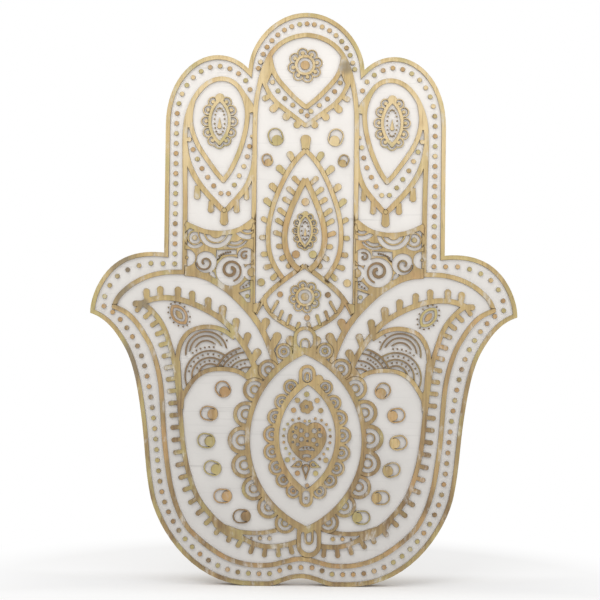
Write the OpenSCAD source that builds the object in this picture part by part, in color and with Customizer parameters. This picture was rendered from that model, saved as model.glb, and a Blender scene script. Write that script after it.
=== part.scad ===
// Hamsa hand wall plaque: a five-ply board whose face ply is cut through into a web of bands and loose motifs.
// The hand stands upright, +Z up, and shows its carved face towards -Y. All sizes are in mm.
// Patterns are drawn flat as X, Z for a hand 600 high and then scaled to the hand's height.

/* [Hand] */
// height of the hand, fingertip to lobes
hand_height = 600; // [450:10:720]
// half width across the two thumb tips
thumb_reach = 223.5; // [221:0.5:226]
// height of the thumb tips
thumb_tip_z = 282.5; // [280:0.5:285]
// half width across the two side fingers
shoulder_x = 147; // [146:0.5:149]
// height at which the thumbs leave the side fingers
shoulder_z = 346.7; // [345:0.5:349]
// height of the side fingers
side_finger_z = 554.5; // [552:0.5:558]
// rise of the cleft between the two bottom lobes
cleft_z = 8.2; // [6:0.2:9]
// width of the flat that each bottom lobe stands on
foot_flat = 16; // [10:1:20]

/* [Plies] */
// thickness of the face ply, which all raised pieces are cut from
face_t = 3; // [2:0.5:4]
// thickness of each hidden ply
ply_t = 3; // [2:0.5:4]

/* [Bands] */
// width of the outer rim
rim_w = 4.7; // [4:0.1:5.5]
// width of the frames and bands inside the rim
band_w = 4.9; // [4.2:0.1:5.4]
// width of the thin ribs in scrolls and scallops
rib_w = 1.6; // [1.4:0.1:1.7]
// distance from the rim's outer edge to the line of border beads
bead_inset = 11.3; // [10.5:0.1:12]

/* [Beads] */
// radius of the border and finger beads
bead_r = 2.45; // [2:0.05:2.7]
// radius of the teeth along the palm line
tooth_r = 2.6; // [2.2:0.1:2.9]
// radius of the smallest beads
seed_r = 0.9; // [0.8:0.05:1]
// number of teeth on each side of the palm line
tooth_count = 26; // [20:1:28]

/* [Hangers] */
// distance of each hanger from the middle
hanger_x = 92; // [70:1:110]
// height of the ring pivots
hanger_z = 430; // [380:5:460]
// width of the strap
strap_w = 12; // [10:0.5:13]
// length of the strap below the ring pivot
strap_len = 38; // [34:1:44]
// thickness of the strap metal
strap_t = 1.2; // [1:0.1:1.5]
// diameter of the ring wire
wire_d = 3; // [2.5:0.1:3.2]
// clear width inside the ring
ring_w = 19; // [18:0.5:24]
// drop from the pivot to the middle of the ring's bow
ring_drop = 19; // [18:0.5:22]
// radial running clearance of the ring in its strap eye
eye_gap = 0.06; // [0.04:0.01:0.1]
// shank diameter of the hanger screws
screw_d = 3.5; // [3:0.1:4]
// head diameter of the hanger screws
head_d = 7.6; // [7:0.1:8]
// thread length of the hanger screws in the board
screw_len = 9.5; // [8:0.5:11]
// diameter of the rubber pads on the back
pad_d = 12; // [10:0.5:16]
// thickness of the rubber pads
pad_t = 6.3; // [6.2:0.1:7]
// distance of each rubber pad from the middle
pad_x = 95; // [80:1:105]
// height of the rubber pads
pad_z = 90; // [80:1:110]

/* [Hidden] */
$fn = 48;
nick = 0.15;
joint_gap = 0.2;
k = hand_height / 600;
board_t = face_t + 4 * ply_t;
deep = board_t + pad_t;
front_y = -deep / 2;
back_y = front_y + board_t;
eye_r = wire_d / 2 + eye_gap;
axis_y = back_y + strap_t + wire_d / 2 + 0.6;
screw_drops = [8.5, strap_len - 8];
head_t = 2.2;
wood_face = [0.74, 0.55, 0.33];
paint = [0.86, 0.86, 0.85];
wood_core = [0.66, 0.5, 0.34];
steel = [0.72, 0.72, 0.7];

// Curves. A point is [x, z]. bez samples one cubic, spl runs a smooth curve through the points given.
function bez(p, n) = [for (i = [0:1:n]) let (t = i / n, u = 1 - t)
  u * u * u * p[0] + 3 * u * u * t * p[1] + 3 * u * t * t * p[2] + t * t * t * p[3]];
function bezs(s, n) = [for (j = [0:1:len(s) - 1]) let (q = bez(s[j], n))
  for (i = [j == 0 ? 0 : 1:1:n]) q[i]];
function cat(a, b, c, d, t) = 0.5 * (2 * b + (c - a) * t + (2 * a - 5 * b + 4 * c - d) * t * t
  + (3 * b - a - 3 * c + d) * t * t * t);
function at(p, i) = i < 0 ? 2 * p[0] - p[1] : i >= len(p) ? 2 * p[len(p) - 1] - p[len(p) - 2] : p[i];
function spl(p, n = 4) = concat([for (i = [0:1:len(p) - 2]) for (j = [0:1:n - 1])
  cat(at(p, i - 1), at(p, i), at(p, i + 1), at(p, i + 2), j / n)], [p[len(p) - 1]]);
function back(p) = [for (i = [len(p) - 1:-1:0]) p[i]];
function flip(p) = [for (i = [len(p) - 1:-1:0]) [-p[i][0], p[i][1]]];
function unit(v) = v / norm(v);
function dir(p, i) = unit(p[min(i + 1, len(p) - 1)] - p[max(i - 1, 0)]);
function aside(p, d) = [for (i = [0:1:len(p) - 1]) let (t = dir(p, i)) p[i] + d * [-t[1], t[0]]];
function run(p, i = 0, s = 0) = i >= len(p) - 1 ? [s] : concat([s], run(p, i + 1, s + norm(p[i + 1] - p[i])));
function spot(p, r, s) = let (j = max([for (i = [0:1:len(r) - 2]) if (r[i] <= s + 0.0001) i]))
  [p[j] + (p[j + 1] - p[j]) * (s - r[j]) / (r[j + 1] - r[j]), unit(p[j + 1] - p[j])];
function evenly(p, n) = let (r = run(p), e = r[len(r) - 1]) [for (i = [0:1:n - 1]) spot(p, r, e * i / (n - 1))];

// The hand's outline, left half from the fingertip to the cleft.
finger_tip = [[[0, 600], [-33, 600], [-59, 570], [-61, 541]]];
side_finger = [[[-61, 541], [-70, 550], [-81, side_finger_z], [-93, side_finger_z]],
  [[-93, side_finger_z], [-118, side_finger_z], [-shoulder_x, 529], [-shoulder_x, 480]]];
side_edge = [[-shoulder_x, 480], [-shoulder_x, shoulder_z]];
thumb_top = [[[-shoulder_x, shoulder_z], [-178, shoulder_z + 3.3], [-203, 340], [-217, 310]],
  [[-217, 310], [-221, 301], [-thumb_reach, 292], [-thumb_reach, thumb_tip_z]]];
palm_edge = [[[-thumb_reach, thumb_tip_z], [-208, 277.5], [-197, 266], [-185, 243.5]],
  [[-185, 243.5], [-176, 225], [-172, 200], [-168.5, 175]],
  [[-168.5, 175], [-164, 142], [-164, 118], [-157.5, 90]],
  [[-157.5, 90], [-147, 52], [-110, 0], [-43 - foot_flat / 2, 0]],
  [[-43 - foot_flat / 2, 0], [-46, 0], [-40, 0], [-43 + foot_flat / 2, 0]],
  [[-43 + foot_flat / 2, 0], [-24, 0], [-14, cleft_z], [0, cleft_z]]];
left_edge = concat(bezs(finger_tip, 24), bezs(side_finger, 15), [side_edge[1]],
  bezs(thumb_top, 14), bezs(palm_edge, 14));

// Centre lines of the bands, left half.
divider = spl([[2, 576.6], [-2, 576.6], [-14, 574.2], [-26, 568.3], [-35, 560], [-41.5, 549], [-46, 537], [-49.5, 522],
  [-52.3, 505], [-53.4, 480], [-53.4, 400], [-53.4, 284]], 4);
flower_bow = spl([[-38.5, 553], [-37, 546], [-34.5, 538], [-29.5, 529.5], [-21.5, 520.3], [-12, 510.5],
  [0, 500.5]], 4);
bud_bow = spl([[-45, 529], [-41, 519], [-36, 511], [-29.5, 504], [-21, 497.3], [-12, 490.5], [0, 481]], 4);
side_frame = spl([[-125.3, 325], [-125.5, 400], [-126.6, 450], [-126.4, 475], [-124.2, 491], [-118.5, 506.5],
  [-111, 518], [-102, 525.8], [-91, 529.6], [-80, 528], [-71, 521], [-65, 510], [-61.7, 497], [-62, 484],
  [-64.5, 470], [-68.5, 456], [-74, 442.5], [-79.5, 431.8], [-85.8, 422.8]], 4);
side_drop = spl([[-85.8, 422.8], [-92, 429.6], [-98, 437.6], [-105, 447.3], [-112, 458], [-117, 468.5],
  [-120.2, 480], [-121, 492], [-118.5, 506.5]], 4);
side_bow = spl([[-126.6, 462], [-124.5, 449], [-121.5, 439], [-117, 429], [-111, 419.5], [-104, 410.5],
  [-95, 401], [-84.5, 391.5], [-76, 399], [-69, 407], [-62.5, 415.5], [-58, 425], [-54.5, 437], [-53.4, 450]], 4);
field_line = spl([[-125, 377.5], [-115, 372.9], [-104, 369], [-91, 367.5], [-80, 368.4], [-70, 371],
  [-62, 375.5], [-53.4, 382]], 4);
thumb_line = spl([[-125, 326.3], [-140, 326.2], [-150, 325], [-160, 322.6], [-170, 318.7], [-180, 313],
  [-190, 304.5], [-195.5, 297.5], [-198.7, 289.5]], 3);
rim_line = spl([[-198.7, 289.5], [-188, 284.7], [-180, 278.5], [-172, 269], [-165.5, 258.8], [-160, 249],
  [-155.5, 237], [-152, 225], [-149.3, 212], [-147.8, 200], [-146.3, 180], [-144, 150], [-140, 120],
  [-136.2, 100], [-129.5, 79], [-120, 61.5], [-110, 51], [-100, 42.6], [-90, 35.5], [-80, 29.7], [-70, 25.6],
  [-60, 22.9], [-50, 21.4], [-40, 21.2], [-30, 22], [-18, 25], [-8, 27.6], [-2, 28.3], [2, 28.3]], 3);
arc_line = spl([[-125, 325.4], [-112, 324], [-100, 320.2], [-90, 314.6], [-80, 308], [-70, 299.2], [-60, 289],
  [-50, 277], [-42, 264], [-36, 250.8], [-31, 237], [-27, 224]], 3);
leaf_line = spl([[-169, 293.4], [-160, 297.2], [-150, 299], [-140, 299.1], [-130, 297.6], [-120, 294.7],
  [-110, 290.8], [-100, 286], [-90, 280.2], [-81, 273.3], [-73.5, 265.3], [-66.5, 256.3], [-60.5, 247.5],
  [-55, 237.5], [-50.5, 227.5], [-45, 217]], 3);
palm_line = spl([[-169, 293.4], [-162, 288.3], [-155.5, 281.7], [-149.5, 274], [-144.8, 265], [-141, 254.5],
  [-137.5, 243], [-135, 232], [-132.5, 219], [-130.5, 205], [-129, 190], [-127, 170], [-125, 150],
  [-121.7, 130], [-117, 112], [-111, 96], [-103.5, 83.5], [-95, 73.5], [-86.5, 64.5], [-77, 57.5],
  [-66, 52.5], [-59, 48], [-50, 44], [-40, 41.3], [-30, 40.9], [-20, 42], [-10, 44.5], [0, 48]], 3);
lid_line = spl([[-72, 57], [-62, 55.6], [-50, 54.7], [-40, 55.2], [-30, 57], [-20, 60]], 3);
kidney_line = spl([[-126, 195], [-120, 206], [-112, 216.5], [-101, 223.3], [-88, 225.5], [-74, 224.6],
  [-64, 221], [-54, 214]], 4);
fan_line = spl([[-132, 232], [-130, 247], [-125, 258], [-117, 265.5], [-104, 269.2], [-92, 268.6], [-82, 264.8],
  [-72, 258]], 4);
lozenge_top = spl([[0, 334.5], [-10, 327.5], [-20, 320], [-30, 312], [-38.5, 303.5], [-45, 294.5],
  [-51, 284]], 3);
lozenge_foot = spl([[-40.5, 302], [-41, 296], [-37.8, 288.5], [-32, 281.6], [-25, 276.4], [-17, 271.6],
  [-7, 266.5]], 3);
arch_line = spl([[0, 455.5], [-7, 448.7], [-14, 439.5], [-20, 429.5], [-25.5, 418], [-30.3, 406], [-34.3, 393.5],
  [-37.2, 380], [-38.3, 366], [-37.5, 352.5], [-34.5, 341], [-29.5, 331], [-22.5, 321]], 3);
inner_arch = spl([[0, 425.5], [-5, 415.5], [-10, 404.5], [-15, 392.5], [-19, 379.5], [-21, 366], [-20, 353.5],
  [-16.5, 343.5], [-11.5, 335.5], [-5, 330]], 3);

// Buds and teeth that grow from the bands: [root, tip, radius at the tip].
finger_buds = [[[-38, 512.5], [-43, 509.7], 3.1], [[-29.5, 504], [-34.5, 498.7], 3.9], [[-17, 494.5], [-20.8, 490.6], 3.9],
  [[-6, 486], [-9.3, 482.2], 3.7], [[0, 455], [-0.6, 466.8], 4.9], [[-12, 443.5], [-16.3, 451], 3.5],
  [[-20.5, 430], [-27.3, 436.5], 3.6], [[-28, 411.5], [-34.6, 417.5], 3.6], [[-34, 396.5], [-40.4, 402.3], 3.4],
  [[-38, 379.5], [-43.2, 383], 2.8], [[-39, 364], [-44.6, 363.6], 2.8], [[-37, 346.6], [-43, 346], 2.9],
  [[-34, 334], [-39.8, 332.4], 3], [[-28, 326], [-32.5, 321.4], 3], [[-5, 419.5], [-11.3, 426], 2.8],
  [[-10, 409], [-17, 414.8], 2.8], [[-13.5, 399], [-21, 404], 2.8], [[-18.5, 386.5], [-26.2, 392.6], 2.8],
  [[-21, 377], [-28.4, 381.6], 2.8], [[-21.5, 365.5], [-30.2, 368.7], 2.8], [[-21, 354.3], [-27, 354.6], 2.8],
  [[-18, 345.5], [-23.4, 341.8], 2.9], [[-12, 341], [-16.4, 334], 2.8]];
side_buds = [[[-113, 417], [-113, 406], 3.5], [[-98.5, 401], [-98.5, 392], 3.3], [[-84.5, 392], [-84.5, 380], 4.4],
  [[-71.5, 402], [-71.5, 392], 3.2], [[-61.3, 414], [-61.3, 405.2], 2.7], [[-125, 465.5], [-122, 465.5], 2.5],
  [[-54, 469], [-56.6, 469.5], 1.9]];
leaf_buds = [[[-164, 296], [-165, 305.3], 3.6], [[-150.5, 299.5], [-150.5, 308], 3.5], [[-132, 298], [-132, 307.6], 3.5],
  [[-116.5, 293.5], [-117, 303.6], 3.4], [[-100, 286.5], [-100.2, 296.8], 3.7], [[-85.5, 277], [-84.8, 288.2], 4.2],
  [[-72, 264.5], [-70.7, 275.2], 3.9], [[-61.5, 250], [-58.3, 260.4], 3.7], [[-53.5, 234], [-48, 243.2], 4.2],
  [[-168, 293.2], [-176, 292.8], 3.3]];
arc_buds = [[[-43.5, 266], [-39.6, 275], 4.4], [[-34, 247.5], [-27.6, 260], 4.6], [[-34, 285], [-27.9, 296.3], 1.9],
  [[-26, 277.5], [-22.8, 286.2], 1.9], [[-17.5, 272], [-14, 282], 1.9], [[-7.5, 268], [-5, 273.8], 2],
  [[-13, 250], [-14, 256.5], 4.5]];

// Small shared shapes.
module band(p, w) {
  polygon(concat(aside(p, w / 2), back(aside(p, -w / 2))));
}
module bud(a, b, r) {
  t = unit(b - a);
  n = [-t[1], t[0]];
  translate(b) circle(r);
  polygon([a + 0.72 * r * n, b + 0.96 * r * n, b - 0.96 * r * n, a - 0.72 * r * n]);
}
module both() {
  children();
  mirror([1, 0]) children();
}
module ring(r, w) {
  difference() {
    circle(r);
    circle(r - w);
  }
}
module pill(r, h) {
  circle(r);
  translate([0, h]) circle(r);
  translate([0, h / 2]) square([2 * r * 0.995, h], center = true);
}
module pocket(r) {
  ring(r - 1.3, r * 0.42);
}
module almond(w, h) {
  q = (w * w + h * h) / (2 * w);
  intersection() {
    translate([q - w, 0]) circle(q, $fn = 96);
    translate([w - q, 0]) circle(q, $fn = 96);
  }
}
module leaf(r, l) {
  circle(r);
  polygon([[-r * 0.97, -r * 0.2], [0, -l], [r * 0.97, -r * 0.2]]);
}
module outline() {
  polygon(concat(left_edge, flip(left_edge)));
}
module ply(y, t) {
  translate([0, y + t, 0]) rotate([90, 0, 0]) linear_extrude(t) scale(k) children();
}
module inlay() {
  color(wood_face) ply(front_y, face_t) children();
}

// A row of scallops: each a disc with a ring and a small round opening sunk into it.
module scallops(list) {
  difference() {
    for (q = list)
      translate([q[0], q[1]]) circle(q[2]);
    for (q = list)
      translate([q[0], q[1]]) ring(q[2] * 0.72, q[2] * 0.31);
    for (q = list)
      translate([q[0], q[1]]) circle(q[2] * 0.41 - rib_w);
  }
}
module flower(r) {
  difference() {
    for (i = [0:1:7])
      rotate(i * 45 + 12) translate([0, r * 0.68]) circle(r * 0.31);
    for (i = [0:1:7])
      rotate(i * 45 + 12) translate([0, r * 0.68]) pocket(r * 0.31);
    circle(r * 0.5);
  }
  ring(r * 0.58, r * 0.16);
}
module scroll(r, turns, start, hand, w) {
  n = ceil(turns * 18);
  p = [for (i = [0:1:n]) let (s = i / n, a = start + hand * 360 * turns * s, q = r * (1 - 0.8 * s))
    [q * cos(a), q * sin(a)]];
  e = [for (i = [0:1:n]) rib_w / 2 + (w - rib_w) / 2 * sin(90 * i / n)];
  polygon(concat([for (i = [0:1:n]) p[i] * (1 + e[i] / norm(p[i]))],
    [for (i = [n:-1:0]) p[i] * (1 - e[i] / norm(p[i]))]));
}
module overlay(x, z, r, rings) {
  difference() {
    union() {
      children();
      translate([x, z]) circle(r);
    }
    for (q = rings)
      translate([x, z]) ring(q[0], q[1]);
  }
}
module scroll_panel() {
  intersection() {
    polygon(concat(field_line, [[-53.4, 276]], back(arc_line)));
    overlay(-60, 376.5, 16.4, [[15, 4.8], [8.2, 2.9]])
      overlay(-93, 369.5, 19, [[17.7, 4.7], [11.4, 4.2]])
        overlay(-73.5, 368, 17.6, [[16.3, 2.5], [12.4, 2.9]])
          overlay(-115, 362.5, 13, [[11.2, 3.4], [6.2, 3.4]])
            overlay(-123, 341.5, 10.4, [[9, 7.4]])
              panel_ground();
  }
}
module panel_ground() {
  difference() {
    translate([-90, 330]) square([90, 110], center = true);
    translate([-103, 337]) circle(11.3);
    translate([-77, 328]) circle(15.6);
    translate([-61.2, 344]) circle(8.9);
    translate([-55, 327]) ring(8.6, 4);
    difference() {
      polygon([[-92, 350], [-71, 350.5], [-71, 345.5], [-85, 345], [-92.6, 339.5]]);
      translate([-77, 328]) circle(17.3);
    }
    polygon([[-98, 328.4], [-94.2, 326.4], [-91.6, 320], [-94.6, 320.4], [-99.6, 324.6]]);
    polygon([[-67.5, 311.5], [-60.5, 318.5], [-56.5, 318.5], [-56.5, 311.6], [-66.5, 308.6]]);
    polygon([[-68.6, 305.2], [-56, 309.4], [-56, 295.5], [-60, 295.5], [-63.5, 300.5]]);
  }
}

module at_screws() {
  for (s = [-1, 1])
    for (z = screw_drops)
      translate([s * hanger_x, back_y, hanger_z - z]) rotate([90, 0, 0]) children();
}
module drilled_ply(y) {
  color(wood_core) difference() {
    ply(y, ply_t) outline();
    at_screws() translate([0, 0, -1]) cylinder(h = screw_len - strap_t + 1.3, d = screw_d + 0.1);
  }
}

// Plies.
module back_ply() {
  drilled_ply(back_y - ply_t);
}
module rear_cross_ply() {
  drilled_ply(back_y - 2 * ply_t);
}
module core_ply() {
  drilled_ply(back_y - 3 * ply_t);
}
module ground_ply() {
  color(paint) ply(back_y - 4 * ply_t, ply_t) outline();
}

// Raised pieces of the face ply.
module outer_rim() {
  inlay() difference() {
    outline();
    offset(delta = -rim_w) outline();
  }
}
module bead_row(p, n, r, first = 0, last = 0) {
  e = evenly(p, n);
  for (i = [first:1:n - 1 - last])
    translate(e[i][0]) circle(r);
}
module border_row() {
  bead_row(aside(bezs(finger_tip, 12), bead_inset), 10, bead_r, 1, 1);
  translate([-50.6, 541.2]) circle(bead_r);
  bead_row(spl([[-59, 518.8], [-64.5, 529.5], [-72.5, 536.2], [-82, 541], [-92.5, 543.1], [-103, 541], [-112.5, 536],
    [-121, 528.5], [-127.5, 519], [-132, 508], [-134.8, 495], [-135.7, 470], [-135.7, 335]]), 27, bead_r);
  bead_row(spl([[-148, 335], [-159, 335.3], [-170, 333.5], [-180.5, 330], [-190, 325.3], [-198, 318.8],
    [-204.3, 310], [-208.5, 300]]), 7, bead_r);
  bead_row(back(aside(bezs(palm_edge, 12), bead_inset + 1.2)), 38, bead_r, 1, 1);
}
module border_beads() {
  inlay() {
    both() border_row();
    translate([0, 600 - bead_inset]) circle(bead_r);
    translate([0, cleft_z + bead_inset]) circle(bead_r);
  }
}
module mandorla_place() {
  translate([3.5, 152]) rotate(1.4) children();
}
palm_ring = [[-21.5, 93, 8.8], [-38, 74, 10.9], [-52.5, 53.5, 12.5], [-61.9, 28, 13.5], [-67, 1, 14.5],
  [-64.4, -25, 13.6], [-55, -49.5, 12.6], [-39.5, -69, 12.2], [-22.5, -86, 11]];
module palm_scallops() {
  scallops(palm_ring);
}
// The mandorla's frame with its grooves filled, to trim what runs under its edge.
module mandorla_cover() {
  offset(delta = joint_gap) {
    mandorla_place() {
      almond(63.7, 97.5);
      both() for (q = palm_ring)
        translate([q[0], q[1]]) circle(q[2]);
    }
    translate([1.6, 245]) pill(12.3, 13.6);
    translate([8, 43.4]) translate([0, -0.8]) pill(12.8, 12.6);
  }
}
fan_field = [[-131, 232], [-128.7, 246], [-123.7, 256.5], [-116, 263.6], [-104, 267], [-92, 266], [-83, 260.8],
  [-75, 254], [-64, 246], [-56.5, 233], [-51, 222], [-56, 214], [-64, 220], [-74, 223.5], [-88, 224.4],
  [-101, 222.2], [-112, 215.4], [-120, 205], [-127, 193]];
module fan_one() {
  translate([-101.5, 243]) {
    ring(22.2, rib_w);
    ring(17.7, rib_w);
    ring(12.7, rib_w);
  }
}
module fan_two() {
  translate([-97, 218]) {
    ring(27.2, rib_w);
    ring(20, rib_w);
    ring(13.4, rib_w);
  }
}
module fan_three() {
  translate([-58, 214]) {
    ring(35.6, 2);
    ring(30.2, rib_w);
    ring(22.4, rib_w);
    ring(14.4, rib_w);
  }
}
module fan_pattern() {
  difference() {
    fan_one();
    translate([-97, 218]) circle(33.6);
    translate([-58, 214]) circle(35);
  }
  difference() {
    fan_two();
    translate([-58, 214]) circle(35);
  }
  fan_three();
}
upper_fills = [
  [[-47, 531], [-44, 543], [-37, 556], [-35.5, 545], [-36.5, 536], [-42, 523], [-45, 524]],
  [[-68, 521], [-56, 504], [-54, 495], [-60, 494], [-63, 505]],
  [[-127, 478], [-121, 478], [-119.5, 492], [-124, 496]]];
lower_fills = [
  [[-60, 221], [-53, 230], [-45, 230], [-40, 221], [-45, 208], [-57, 212]],
  [[-58, 293.5], [-45, 295.5], [-49.5, 285], [-52, 279]],
  [[-133, 240], [-128.5, 233], [-126.5, 205], [-123.4, 200], [-124.8, 183], [-130, 186]],
  [[-99, 78], [-80, 63.5], [-61, 57], [-61, 46], [-79, 52], [-91, 61]],
  [[-20, 236], [-6, 243], [-9.5, 262], [-15, 254], [-14, 246]]];
module web_fills(list) {
  for (q = list)
    polygon(q);
}
module finger_web() {
  band(divider, band_w);
  band(flower_bow, band_w);
  band(bud_bow, band_w - 0.3);
  band(lozenge_top, band_w);
  band(lozenge_foot, band_w - 0.6);
  band(side_frame, band_w);
  band(side_drop, band_w - 0.2);
  band(side_bow, band_w + 0.5);
  band(thumb_line, band_w);
  translate([-85.8, 422.8]) circle(band_w / 2);
  for (q = concat(finger_buds, side_buds))
    bud(q[0], q[1], q[2]);
  translate([0, 501.2]) circle(band_w / 2);
  translate([0, 482]) circle(band_w / 2);
  web_fills(upper_fills);
}
module palm_web() {
  band(rim_line, band_w);
  translate([-198.7, 289.5]) circle(band_w / 2);
  band(leaf_line, band_w + 0.7);
  band(palm_line, band_w);
  band(lid_line, band_w - 0.5);
  band(kidney_line, band_w - 0.3);
  band(fan_line, band_w - 0.3);
  band(arch_line, band_w);
  band(inner_arch, band_w + 1);
  for (q = leaf_buds)
    bud(q[0], q[1], q[2]);
  for (q = evenly(palm_line, tooth_count + 2))
    if (q[0][0] < -4)
      bud(q[0], q[0] + 9 * [q[1][1], -q[1][0]], tooth_r);
  web_fills(lower_fills);
}
module panel_web() {
  scroll_panel();
  band(field_line, band_w);
  band(arc_line, band_w + 1.2);
  for (q = arc_buds)
    bud(q[0], q[1], q[2]);
  translate([-84.5, 391.7]) circle(band_w / 2);
}
module top_bud() {
  translate([1.6, 245]) difference() {
    pill(12.3, 13.6);
    translate([0, 10.3]) pill(8.6, 3.4);
  }
  translate([1.6, 250.4]) difference() {
    pill(5.3, 3);
    pill(5.3 - rib_w, 3);
  }
}
module foot_drop() {
  translate([8, 43.4]) difference() {
    translate([0, -0.8]) pill(12.8, 12.6);
    difference() {
      pill(8.5, 8.4);
      translate([0, 4.6]) pill(4.9, 18);
    }
    translate([0, 5]) pill(2.6, 7);
  }
}
module mandorla_web() {
  mandorla_place() difference() {
    union() {
      almond(63.7, 97.5);
      both() palm_scallops();
    }
    almond(58.5, 89.75);
  }
  difference() {
    union() {
      top_bud();
      foot_drop();
    }
    mandorla_place() almond(58.5, 89.75);
  }
}
// Hairline notches narrower than twice nick are closed, as glue and paint close them.
module fretted() {
  $fn = 0;
  $fa = 14;
  $fs = 1.4;
  inlay() offset(delta = -nick) offset(delta = nick) children();
}
module mandorla_frame() {
  fretted() mandorla_web();
}
module scroll_panels() {
  fretted() difference() {
    both() panel_web();
    mandorla_cover();
  }
}
module palm_frames() {
  fretted() difference() {
    both() palm_web();
    mandorla_cover();
    offset(delta = joint_gap) both() panel_web();
  }
}
module finger_frames() {
  fretted() difference() {
    both() finger_web();
    mandorla_cover();
    offset(delta = joint_gap) both() {
      panel_web();
      palm_web();
    }
  }
}
module scrolls() {
  inlay() both() {
    translate([-104, 336.5]) scroll(8.6, 1.15, 180, 1, 2.2);
    translate([-77, 329]) scroll(11.8, 1.45, -75, 1, 3.6);
    translate([-62.4, 344.2]) scroll(5, 1, 60, 1, 1.8);
  }
}
module fan_ribs() {
  inlay() both() difference() {
    intersection() {
      polygon(fan_field);
      fan_pattern();
    }
    band(leaf_line, band_w + 1.4);
    band(kidney_line, band_w + 0.4);
    band(fan_line, band_w + 0.4);
    band(palm_line, band_w + 0.7);
    offset(delta = 0.35) web_fills(lower_fills);
  }
}
module finger_beads() {
  inlay() both() {
    bead_row(spl([[-35.5, 526.8], [-30, 518], [-22.5, 510], [-14, 503], [-5.2, 496.6]]), 5, bead_r);
    bead_row(spl([[-118, 455], [-108.5, 435.3], [-102.2, 426], [-96, 417.3], [-88.3, 409.3]]), 6, bead_r);
    bead_row(spl([[-80.3, 409.2], [-74.5, 418], [-69.3, 428], [-64.5, 438], [-61, 448.5], [-58.9, 459]]), 6, bead_r);
  }
  inlay() translate([1.3, 492]) circle(bead_r);
}
module round_studs() {
  inlay() {
    both() {
      translate([-45, 316.6]) circle(4);
      translate([-8.9, 346.3]) circle(4.1);
      translate([-25, 304.2]) circle(3);
      translate([-59.2, 302]) circle(2.2);
      translate([-33, 49.3]) circle(2.2);
      translate([-43, 49.4]) circle(2.1);
    }
    translate([0.4, 401.3]) circle(4.1);
    translate([3.5, 280]) circle(3);
  }
}
module top_flower() {
  inlay() translate([-1.5, 545]) flower(18.8);
}
module palm_flower() {
  inlay() translate([1, 302]) flower(17.6);
}
module flower_eyes() {
  inlay() {
    translate([-1.5, 545]) circle(4.8);
    translate([1, 302]) circle(4.1);
  }
}
module petals(w, h, n) {
  for (i = [1:1:n - 1])
    translate([w * sin(360 * i / n), h * cos(360 * i / n)]) children();
}
module paisley(w, h, t, r, n) {
  difference() {
    union() {
      difference() {
        petals(w + t + 0.35 * r, h + 0.9 * t, n) circle(r);
        petals(w + t + 0.35 * r, h + 0.9 * t, n) pocket(r);
      }
      almond(w + t, h + 1.5 * t);
      translate([0, h + 1.2 * t]) circle(r * 0.86);
    }
    almond(w, h);
  }
  translate([0, -h * 0.28]) rotate(180) leaf(w * 0.26, h * 0.48);
}
module side_paisleys() {
  inlay() both() translate([-90.5, 485]) paisley(8.7, 20.5, 3.3, 5.6, 12);
}
module finger_paisley() {
  inlay() translate([0.5, 371]) paisley(6, 14.5, 2.4, 3.9, 12);
}
module leaf_ovals() {
  inlay() both() translate([-130.5, 281.8]) rotate(38) {
    difference() {
      almond(8, 12.5);
      almond(5.4, 9);
    }
    almond(2.9, 5.6);
  }
}
module eye(r, l) {
  difference() {
    translate([0, -l / 2]) pill(r, l);
    difference() {
      translate([0, -l / 2]) pill(r - 1.4, l);
      translate([0, -l / 2 - 0.28 * r]) circle(r * 0.68);
    }
  }
}
module eye_discs() {
  inlay() both()
    for (q = [[-83.6, 204.5, 8, 2, 35], [-98, 179, 7.8, 3.4, 80], [-100.5, 150.5, 7.9, 3.2, 80], [-93.5, 122, 7.8, 3.4, 72],
        [-82.5, 93, 7.7, 4, 88], [-62.4, 72.1, 7.5, 4, 90], [-31.5, 469.4, 8, 3.2, 20], [-40, 445, 5.7, 2.4, 20]])
      translate([q[0], q[1]]) rotate(q[4]) eye(q[2], q[3]);
}
module inner_scallops() {
  scallops([[-18, 52, 8], [-26.8, 36, 8.4], [-33.2, 20, 9], [-36.7, 2, 9.5], [-36.2, -16, 9.3], [-31.2, -32, 8.7],
    [-24, -45, 8.3], [-13.5, -56.5, 8]]);
}
module inner_almond() {
  inlay() translate([5, 155.5]) rotate(-0.4) {
    difference() {
      union() {
        almond(35, 62.5);
        both() inner_scallops();
        translate([-1, 57]) pill(8.8, 9.5);
        translate([0, -66]) pill(7.1, 6);
        translate([11, 60]) circle(5);
      }
      almond(29.5, 54.5);
      translate([-1, 62]) pill(5.4, 4.6);
      translate([0, -66]) pill(4, 6);
    }
    translate([-1, 60.5]) difference() {
      pill(3.2, 4);
      pill(3.2 - rib_w, 4);
    }
    translate([0, -64]) circle(1.6);
  }
}
heart_edge = spl([[0, 16.5], [3, 19.2], [8, 20.8], [13, 19.6], [17.6, 15.6], [20.2, 9], [20.1, 2], [17.5, -5],
  [13, -11.6], [7, -17.2], [0, -20.6]], 3);
module heart() {
  inlay() translate([4.75, 150]) difference() {
    polygon(concat(heart_edge, flip(heart_edge)));
    for (q = [[-11.5, 15, 1.8], [-6, 12.2, 2.3], [-14.5, 10.8, 1.3], [-12.5, 6, 2.5], [-5.6, 3, 2.4], [-14.6, 0, 1.4],
        [0, 7.6, 2.4], [7.6, 12, 2.7], [13.6, 7.2, 2.4], [7, 2.4, 2.5], [-9.6, -2.4, 1.9], [10.6, -2.4, 1.8],
        [13, 13.4, 1.4], [0.6, 1.2, 1.2]])
      translate([q[0], q[1]]) circle(q[2]);
    intersection() {
      translate([0, -15]) ring(11.2, 4.2);
      translate([0, -5]) square([17, 8], center = true);
    }
    intersection() {
      translate([0, -22]) ring(9.6, 3);
      translate([0, -13]) square([9, 6], center = true);
    }
  }
}
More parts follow.
